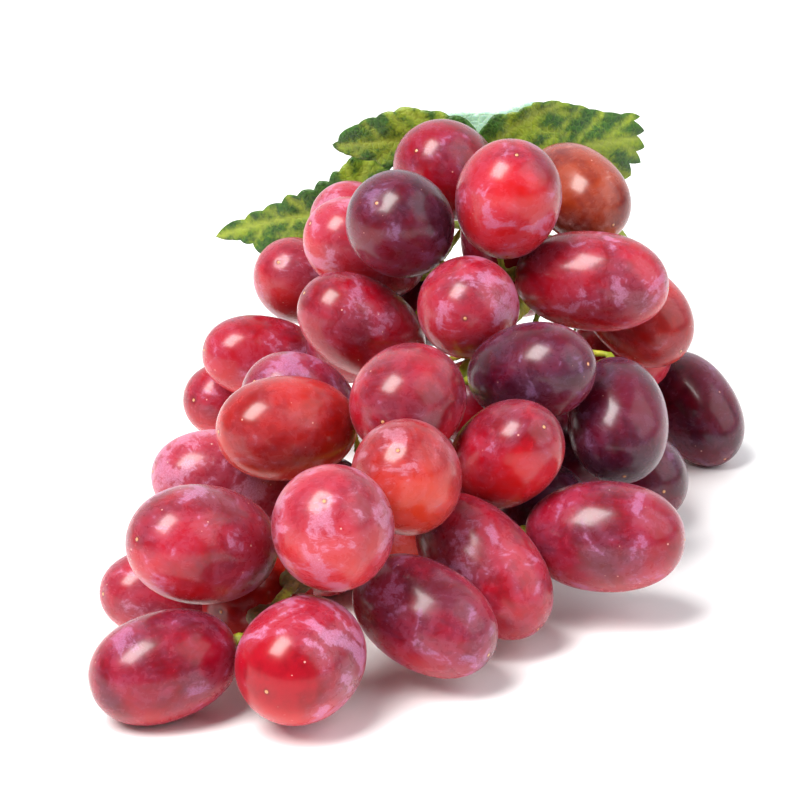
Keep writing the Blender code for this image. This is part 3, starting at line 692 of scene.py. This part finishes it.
LEAVES = {
    "leaf_top": Leaf(
        485, 150, 583, -3, 4,
        (
            (478, 134), (486, 123), (494, 114), (506, 114), (518, 111), (520, 108), (531, 105),
            (533, 102), (544, 101), (558, 99), (563, 101), (575, 102), (591, 106), (606, 109),
            (624, 110), (633, 108), (644, 111), (637, 116), (648, 126), (640, 132), (648, 143),
            (639, 148), (644, 159), (632, 160), (634, 172), (624, 178),
            (566, 190, 3), (600, 236, 3), (528, 205, 4), (500, 236, 5), (466, 196, 4), (404, 222, 4),
            (436, 176, 4), (375, 158, 3),
            (354, 154), (349, 152), (342, 149), (336, 146), (331, 140), (337, 137), (339, 130),
            (351, 123), (358, 121), (366, 116), (376, 115), (382, 111), (394, 110), (400, 106),
            (412, 106), (421, 109), (431, 110), (442, 111), (449, 115), (460, 115), (472, 124),
        ),
        -0.007, -0.006, 1.1, 4, (-0.5, 0.3, 0.8),
        ((645, 134), (562, 101), (334, 142), (400, 107), (600, 236), (500, 236), (404, 222)),
    ),
    "leaf_left": Leaf(
        352, 212, 602, -2, -4,
        (
            (213, 234), (230, 219), (243, 218), (250, 210), (262, 209), (270, 203), (281, 202),
            (287, 194), (297, 195), (303, 189), (314, 189), (319, 180), (329, 181), (333, 171),
            (339, 171), (346, 163), (353, 155), (364, 152), (378, 150), (392, 152),
            (388, 186, 2), (424, 214, 3), (382, 238, 3), (370, 280, 3), (336, 246, 3), (292, 262, 3),
            (260, 252), (256, 249), (252, 242), (245, 242), (239, 238), (231, 238),
        ),
        -0.008, -0.003, 1.1, 1, (-0.3, 0.9, 0.3),
        ((213, 234), (372, 151), (424, 214), (370, 280), (292, 262)),
    ),
    "leaf_back": Leaf(
        490, 152, 597, -6, 0,
        (
            (445, 114), (459, 112), (476, 113), (493, 112), (505, 110), (519, 105), (531, 101),
            (541, 106), (556, 142, 3), (536, 186, 4), (500, 204, 3), (462, 192, 3), (440, 158, 3),
        ),
        0.004, -0.004, 0.6, 2, (0.6, 0.3, 0.7),
        ((490, 111), (541, 106), (447, 114), (536, 186), (462, 192)),
    ),
}


def bezier(start, one, two, end, steps):
    t = np.linspace(0, 1, steps)[:, None]
    return (1 - t) ** 3 * start + 3 * (1 - t) ** 2 * t * one + 3 * (1 - t) * t**2 * two + t**3 * end


def stem_points(step):
    """The main stem's middle line as a smooth curve, sampled about every step."""
    ends = np.vstack([2 * MAIN_STEM[0] - MAIN_STEM[1], MAIN_STEM, 2 * MAIN_STEM[-1] - MAIN_STEM[-2]])
    points = []
    for a, b, c, d in zip(ends, ends[1:], ends[2:], ends[3:]):
        count = max(2, round(np.linalg.norm(c - b) / step))
        for t in np.arange(count) / count:
            points.append(
                0.5
                * (
                    2 * b
                    + (c - a) * t
                    + (2 * a - 5 * b + 4 * c - d) * t**2
                    + (3 * b - a - 3 * c + d) * t**3
                )
            )
    points.append(MAIN_STEM[-1])
    return np.array(points) + BUNCH_SHIFT


class Plane(NamedTuple):
    joint: np.ndarray
    across: np.ndarray
    up: np.ndarray
    front: np.ndarray

    def flat(self, x, y):
        """The place (across, up) in the plane that shows at a pixel."""
        way = from_picture(x, y, 1.0) - CAMERA
        reach = ((self.joint - CAMERA) @ self.front) / (way @ self.front)
        place = CAMERA + reach * way - self.joint
        return np.array([place @ self.across, place @ self.up])


def leaf_plane(leaf):
    lean = math.radians(leaf.lean)
    swing = math.radians(leaf.swing)
    across = np.array([math.cos(swing), math.sin(swing), 0.0])
    back = np.array([-math.sin(swing), math.cos(swing), 0.0])
    up = math.sin(lean) * back + math.cos(lean) * np.array([0.0, 0.0, 1.0])
    joint = from_picture(leaf.joint_x, leaf.joint_y, leaf.distance)
    return Plane(joint, across, up, np.cross(across, up))


def leaf_outline(leaf, plane):
    """The margin in the leaf's own plane, with the hidden teeth added and the sides rounded."""
    corners = [plane.flat(x, y) for x, y, *_ in leaf.margin]
    outline = []
    for number, corner in enumerate(corners):
        entry = leaf.margin[number]
        if len(entry) == 3:
            before = corners[number - 1]
            step = (corner - before) / entry[2]
            outward = np.array([-step[1], step[0]])
            if outward @ (before + corner) < 0:
                outward = -outward
            for tooth in range(entry[2]):
                if tooth:
                    outline.append(before + tooth * step)
                outline.append(before + (tooth + TOOTH_PLACE) * step + RULED_TOOTH * outward)
        outline.append(corner)
    fine = []
    for number, corner in enumerate(outline):
        after = outline[(number + 1) % len(outline)]
        side = after - corner
        reach = np.linalg.norm(side)
        outward = np.array([side[1], -side[0]]) / max(reach, 1e-6)
        if outward @ (corner + after) < 0:
            outward = -outward
        count = max(1, round(reach / LEAF_EDGE_STEP))
        for share in np.arange(count) / count:
            swell = SIDE_SWELL * reach * math.sin(math.pi * share)
            fine.append(corner + share * side + swell * outward)
    return np.array(fine)


def inside(points, outline):
    """Which of the points lie inside the closed outline."""
    x, y = points[:, 0][:, None], points[:, 1][:, None]
    x1, y1 = outline[:, 0][None, :], outline[:, 1][None, :]
    x2, y2 = np.roll(x1, -1, axis=1), np.roll(y1, -1, axis=1)
    crosses = (y1 > y) != (y2 > y)
    level = np.where(y2 == y1, 1e-9, y2 - y1)
    return (crosses & (x < (x2 - x1) * (y - y1) / level + x1)).sum(axis=1) % 2 == 1


def leaf_veins(leaf, plane, outline):
    """Vein lines as (points, strength): one to each lobe, and side veins that leave it in turn."""
    lines = []
    for number, (x, y) in enumerate(leaf.veins):
        end = VEIN_END * plane.flat(x, y)
        way = end / np.linalg.norm(end)
        beside = np.array([-way[1], way[0]])
        reach = np.linalg.norm(end)
        shares = np.linspace(0, 1, VEIN_POINTS)
        bend = VEIN_BEND * reach * (1 if number % 2 else -1)
        line = shares[:, None] * end + (bend * np.sin(math.pi * shares))[:, None] * beside
        lines.append((line, 1.0))
        along = SIDE_VEIN_GAP * 0.8
        hand = 1
        while along < reach * SIDE_VEIN_END:
            root = line[int(along / reach * (VEIN_POINTS - 1))]
            lean = way * math.cos(SIDE_VEIN_ANGLE) + hand * beside * math.sin(SIDE_VEIN_ANGLE)
            span = min(0.62 * (reach - along) + 4.0, SIDE_VEIN_LONGEST)
            steps = np.linspace(0, 1, SIDE_VEIN_POINTS)
            curl = SIDE_VEIN_CURL * span * steps**2
            curve = root + steps[:, None] * span * lean + curl[:, None] * way
            kept = inside(curve, outline)
            kept[0] = True
            last = int(np.argmin(kept)) if not kept.all() else len(curve)
            if last >= 3:
                lines.append((curve[:last], SIDE_VEIN_STRENGTH))
            along += SIDE_VEIN_GAP / 2
            hand = -hand
    return lines


def vein_distance(points, line):
    """Each point's distance to a line of points."""
    a, b = line[:-1], line[1:]
    side = b - a
    off = points[:, None, :] - a[None, :, :]
    share = np.clip((off * side).sum(axis=2) / (side**2).sum(axis=1), 0, 1)
    return np.linalg.norm(off - share[:, :, None] * side[None, :, :], axis=2).min(axis=1)


def leaf_rise(leaf, x, y):
    """How far the sheet stands out of its flat plane, towards the camera."""
    wave = leaf.ripple * np.cos(LEAF_WAVES * np.arctan2(y, x)) * (np.hypot(x, y) / LEAF_WAVE_RADIUS) ** 1.5
    return leaf.bow_across * x * x + leaf.bow_up * y * y + wave


def leaf_sheet(leaf, plane):
    """Points in the plane, triangles, which points are on the margin, and each point's vein values."""
    outline = leaf_outline(leaf, plane)
    low, high = outline.min(axis=0), outline.max(axis=0)
    rows = []
    for row, y in enumerate(np.arange(low[1], high[1], LEAF_TOP_STEP * 0.87)):
        shift = 0.5 * LEAF_TOP_STEP * (row % 2)
        rows += [(x + shift, y) for x in np.arange(low[0], high[0], LEAF_TOP_STEP)]
    grid = np.array(rows)
    grid = grid[inside(grid, outline)]
    closed = np.vstack([outline, outline[:1]])
    grid = grid[vein_distance(grid, closed) > 0.35]
    points = [Vector(point) for point in np.vstack([outline, grid]).tolist()]
    count = len(outline)
    edges = [(number, (number + 1) % count) for number in range(count)]
    made = delaunay_2d_cdt(points, edges, [list(range(count))], 1, 1e-5)
    flat = np.array([tuple(point) for point in made[0]])
    triangles = [tuple(face) for face in made[2]]
    rim = [number for number, origin in enumerate(made[3]) if any(old < count for old in origin)]
    near = np.full(len(flat), 0.0)
    away = np.full(len(flat), 99.0)
    for line, strength in leaf_veins(leaf, plane, outline):
        distance = vein_distance(flat, line)
        near = np.maximum(near, strength * np.exp(-((distance / (0.28 + 0.3 * strength)) ** 2)))
        away = np.minimum(away, distance + (1 - strength))
    return flat, triangles, set(rim), near, away


def tube(points, radii, around):
    """Points and faces of a closed tube, its sections turned as little as they can be."""
    ways = np.gradient(points, axis=0)
    ways = ways / np.linalg.norm(ways, axis=1)[:, None]
    side = unit(np.cross(ways[0], [0.3, 0.2, 1.0]))
    corners = []
    for place, way, radius in zip(points, ways, radii):
        side = unit(side - (side @ way) * way)
        other = np.cross(way, side)
        for number in range(around):
            angle = 2 * math.pi * number / around
            corners.append(place + radius * (math.cos(angle) * side + math.sin(angle) * other))
    faces = []
    for ring in range(len(points) - 1):
        for number in range(around):
            after = (number + 1) % around
            a = ring * around
            b = a + around
            faces.append((a + number, a + after, b + after, b + number))
    faces.append(tuple(range(around))[::-1])
    faces.append(tuple((len(points) - 1) * around + number for number in range(around)))
    return corners, faces


def leaf_material(name, pale):
    """A vine leaf's green with yellow along its veins, paler underneath, with a fine vein net."""
    shader = Shader(name)
    place = shader.millimetres()
    vein = shader.add("ShaderNodeAttribute", attribute_name="vein").outputs["Fac"]
    away = shader.add("ShaderNodeAttribute", attribute_name="away").outputs["Fac"]
    under = shader.add("ShaderNodeAttribute", attribute_name="under").outputs["Fac"]
    stalk = shader.add("ShaderNodeAttribute", attribute_name="stalk").outputs["Fac"]
    broad = shader.noise(place, 0.12, 3.0, 0.6, 0.5)
    fine = shader.noise(place, 1.1, 5.0, 0.6)
    net = shader.add(
        "ShaderNodeTexVoronoi", {"Vector": place, "Scale": 0.75}, feature="DISTANCE_TO_EDGE"
    ).outputs["Distance"]
    green = shader.mix(shader.smooth(fine, 0.3, 0.7), srgb(22, 58, 4), srgb(48, 96, 10))
    streaks = shader.noise(place, 0.45, 4.0, 0.65, 0.8)
    blotch = shader.maths("MULTIPLY", broad, 0.6)
    blotch = shader.maths("ADD", blotch, shader.maths("MULTIPLY", streaks, 0.55))
    blotch = shader.maths("SUBTRACT", blotch, shader.maths("MULTIPLY", away, 0.08))
    blotch = shader.smooth(blotch, 0.36, 0.6)
    blotch = shader.maths("MULTIPLY", blotch, shader.smooth(fine, 0.2, 0.6, 0.55, 1.0))
    colour = shader.mix(shader.maths("MULTIPLY", blotch, 0.7), green, srgb(150, 166, 26))
    colour = shader.mix(shader.smooth(net, 0.0, 0.09, 0.3, 0.0), colour, srgb(96, 124, 46))
    colour = shader.mix(shader.maths("MULTIPLY", vein, 0.75), colour, srgb(156, 170, 62))
    underside = shader.mix(shader.smooth(net, 0.0, 0.12, 0.5, 0.0), srgb(*pale), srgb(214, 232, 214))
    colour = shader.mix(under, colour, underside)
    colour = shader.mix(stalk, colour, srgb(126, 134, 48))
    height = shader.maths("ADD", shader.smooth(net, 0.0, 0.25), shader.maths("MULTIPLY", fine, 0.4))
    bump = shader.add("ShaderNodeBump", {"Strength": 0.35, "Distance": 0.2 * MM, "Height": height})
    return shader.finish(
        {
            "Base Color": colour,
            "Roughness": shader.smooth(fine, 0.2, 0.8, 0.42, 0.6),
            "Subsurface Weight": 0.25,
            "Subsurface Radius": (0.6, 1.0, 0.2),
            "Subsurface Scale": 1.2 * MM,
            "Normal": bump.outputs[0],
        }
    )


UNDERSIDES = {"leaf_top": (120, 150, 96), "leaf_left": (120, 150, 96), "leaf_back": (178, 212, 196)}
TURNED_OVER = {"leaf_back"}


def add_leaf(node, leaf, stem):
    """A leaf as one closed blade with raised veins, and its stalk."""
    plane = leaf_plane(leaf)
    flat, triangles, rim, near, away = leaf_sheet(leaf, plane)
    x, y = flat[:, 0], flat[:, 1]
    lumps = np.array([noise.noise(Vector((a, b, 0.0)) * LEAF_LUMP_PITCH) for a, b in flat])
    swell = PUCKER * (1 - np.exp(-((away / PUCKER_REACH) ** 2))) + LEAF_LUMP_HEIGHT * lumps
    rise = leaf_rise(leaf, x, y)
    middle = swell - 0.4 * VEIN_RELIEF * near
    half = np.full(len(flat), LEAF_THICKNESS / 2)
    half[sorted(rim)] *= 0.45
    turned = node in TURNED_OVER
    upper = middle + half + (VEIN_RELIEF * near if turned else 0)
    lower = middle - half - (0 if turned else VEIN_RELIEF * near)

    def placed(height):
        return (
            plane.joint
            + x[:, None] * plane.across
            + y[:, None] * plane.up
            + height[:, None] * plane.front
            - rise[:, None] * FORWARD
        )

    count = len(flat)
    points = np.vstack([placed(upper), placed(lower)])
    faces = [tuple(face) for face in triangles]
    faces += [tuple(count + corner for corner in face[::-1]) for face in triangles]
    used = {}
    for face in triangles:
        for a, b in zip(face, (*face[1:], face[0])):
            used[(a, b)] = used.get((a, b), 0) + 1
    for a, b in used:
        if (b, a) not in used:
            faces.append((b, a, count + a, count + b))
    under = np.concatenate([np.full(count, float(turned)), np.full(count, float(not turned))])
    side = unit(np.array(leaf.stalk_side))
    end = stem[leaf.stalk_place] + (MAIN_STEM_RADIUS + STALK_RADIUS + STALK_GAP) * side
    start = plane.joint - STALK_SINK * plane.front
    bends = (start - STALK_BEND * plane.front - np.array([0.0, 0.0, STALK_DROP]), end + STALK_BEND * side)
    line = bezier(start, *bends, end - STALK_TUCK * side, STALK_STEPS)
    radii = np.full(STALK_STEPS, STALK_RADIUS)
    radii[-len(STALK_FLARE) :] = STALK_RADIUS * STALK_FLARE
    corners, sides = tube(line, radii, STALK_AROUND)
    faces += [tuple(len(points) + corner for corner in face) for face in sides]
    mesh = bpy.data.meshes.new(f"{node}_blade")
    mesh.from_pydata((np.vstack([points, corners]) * MM).tolist(), [], faces)
    more = np.zeros(len(corners))
    values = {
        "vein": np.concatenate([near, near, more]),
        "away": np.concatenate([away, away, more]),
        "under": np.concatenate([under, more]),
        "stalk": np.concatenate([np.zeros(2 * count), more + 1.0]),
    }
    for name, value in values.items():
        mesh.attributes.new(name, "FLOAT", "POINT").data.foreach_set("value", value.astype(np.float32))
    piece = add_piece(f"{node}_blade", mesh, leaf_material(f"{node}_green", UNDERSIDES[node]))
    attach(piece, "root")
    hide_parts(node)


# Stage: floor, light and camera, in metres.
FLOOR_SIDE = 8.0
FLOOR_COLOUR = (0.93, 0.93, 0.94, 1.0)
ROOM_COLOUR = (0.96, 0.97, 1.0, 1.0)
ROOM_FADE = {"From Min": 0.0, "From Max": 0.9, "To Min": 0.3, "To Max": 1.1}
LIGHT_TARGET = (0.0, 0.0, 0.04)
KEY_WAY = np.array([-0.39, -0.37, 0.84])
KEY_DISTANCE = 3.0
KEY_WIDTH = 1.3
KEY_HEIGHT = 1.9
KEY_POWER = 150.0
FILL_WAY = np.array([0.75, -0.25, 0.6])
FILL_SIZE = 3.0
FILL_POWER = 50.0


def add_floor():
    half = FLOOR_SIDE / 2
    mesh = bpy.data.meshes.new("floor")
    corners = [(-half, -half, 0), (half, -half, 0), (half, half, 0), (-half, half, 0)]
    mesh.from_pydata(corners, [], [(0, 1, 2, 3)])
    shader = Shader("floor_white")
    finish = shader.finish({"Base Color": FLOOR_COLOUR, "Roughness": 0.6})
    floor = add_piece("floor", mesh, finish)


def add_area_light(name, way, distance, width, height, power, colour):
    data = bpy.data.lights.new(name, "AREA")
    data.shape = "RECTANGLE"
    data.size = width
    data.size_y = height
    data.energy = power
    data.color = colour
    lamp = bpy.data.objects.new(name, data)
    way = unit(way)
    lamp.location = Vector(LIGHT_TARGET) + Vector(way * distance)
    lamp.rotation_euler = Vector(-way).to_track_quat("-Z", "Y").to_euler()
    bpy.context.scene.collection.objects.link(lamp)


def add_world():
    """A plain pale room: bright behind the bunch, dimmer above and in front."""
    world = bpy.data.worlds.new("room")
    world.use_nodes = True
    tree = world.node_tree
    way = tree.nodes.new("ShaderNodeTexCoord").outputs["Generated"]
    split = tree.nodes.new("ShaderNodeSeparateXYZ")
    tree.links.new(way, split.inputs[0])
    fade = tree.nodes.new("ShaderNodeMapRange")
    fade.interpolation_type = "SMOOTHSTEP"
    for socket, value in ROOM_FADE.items():
        fade.inputs[socket].default_value = value
    tree.links.new(split.outputs[1], fade.inputs["Value"])
    shown = tree.nodes["Background"]
    shown.inputs["Color"].default_value = ROOM_COLOUR
    tree.links.new(fade.outputs[0], shown.inputs["Strength"])
    bpy.context.scene.world = world


def add_camera():
    data = bpy.data.cameras.new("camera")
    data.lens = FOCAL_PIXELS * SENSOR / PICTURE_SIZE
    data.sensor_width = SENSOR
    data.clip_start = 0.01
    camera = bpy.data.objects.new("camera", data)
    camera.location = CAMERA * MM
    camera.rotation_euler = (math.pi / 2 - VIEW_TILT, 0.0, 0.0)
    bpy.context.scene.collection.objects.link(camera)
    bpy.context.scene.camera = camera


def main():
    bpy.context.scene.view_settings.view_transform = "Standard"
    add_camera()
    add_floor()
    add_world()
    add_area_light("key", KEY_WAY, KEY_DISTANCE, KEY_WIDTH, KEY_HEIGHT, KEY_POWER, (1.0, 0.98, 0.95))
    add_area_light("fill", FILL_WAY, KEY_DISTANCE, FILL_SIZE, FILL_SIZE, FILL_POWER, (1.0, 1.0, 1.0))
    stem_mesh_points, _ = node_points("stem")
    forms = add_berries(stem_mesh_points)
    stem = stem_points(2.0)
    add_stem(forms, stem)
    for node, leaf in LEAVES.items():
        add_leaf(node, leaf, stem)


main()
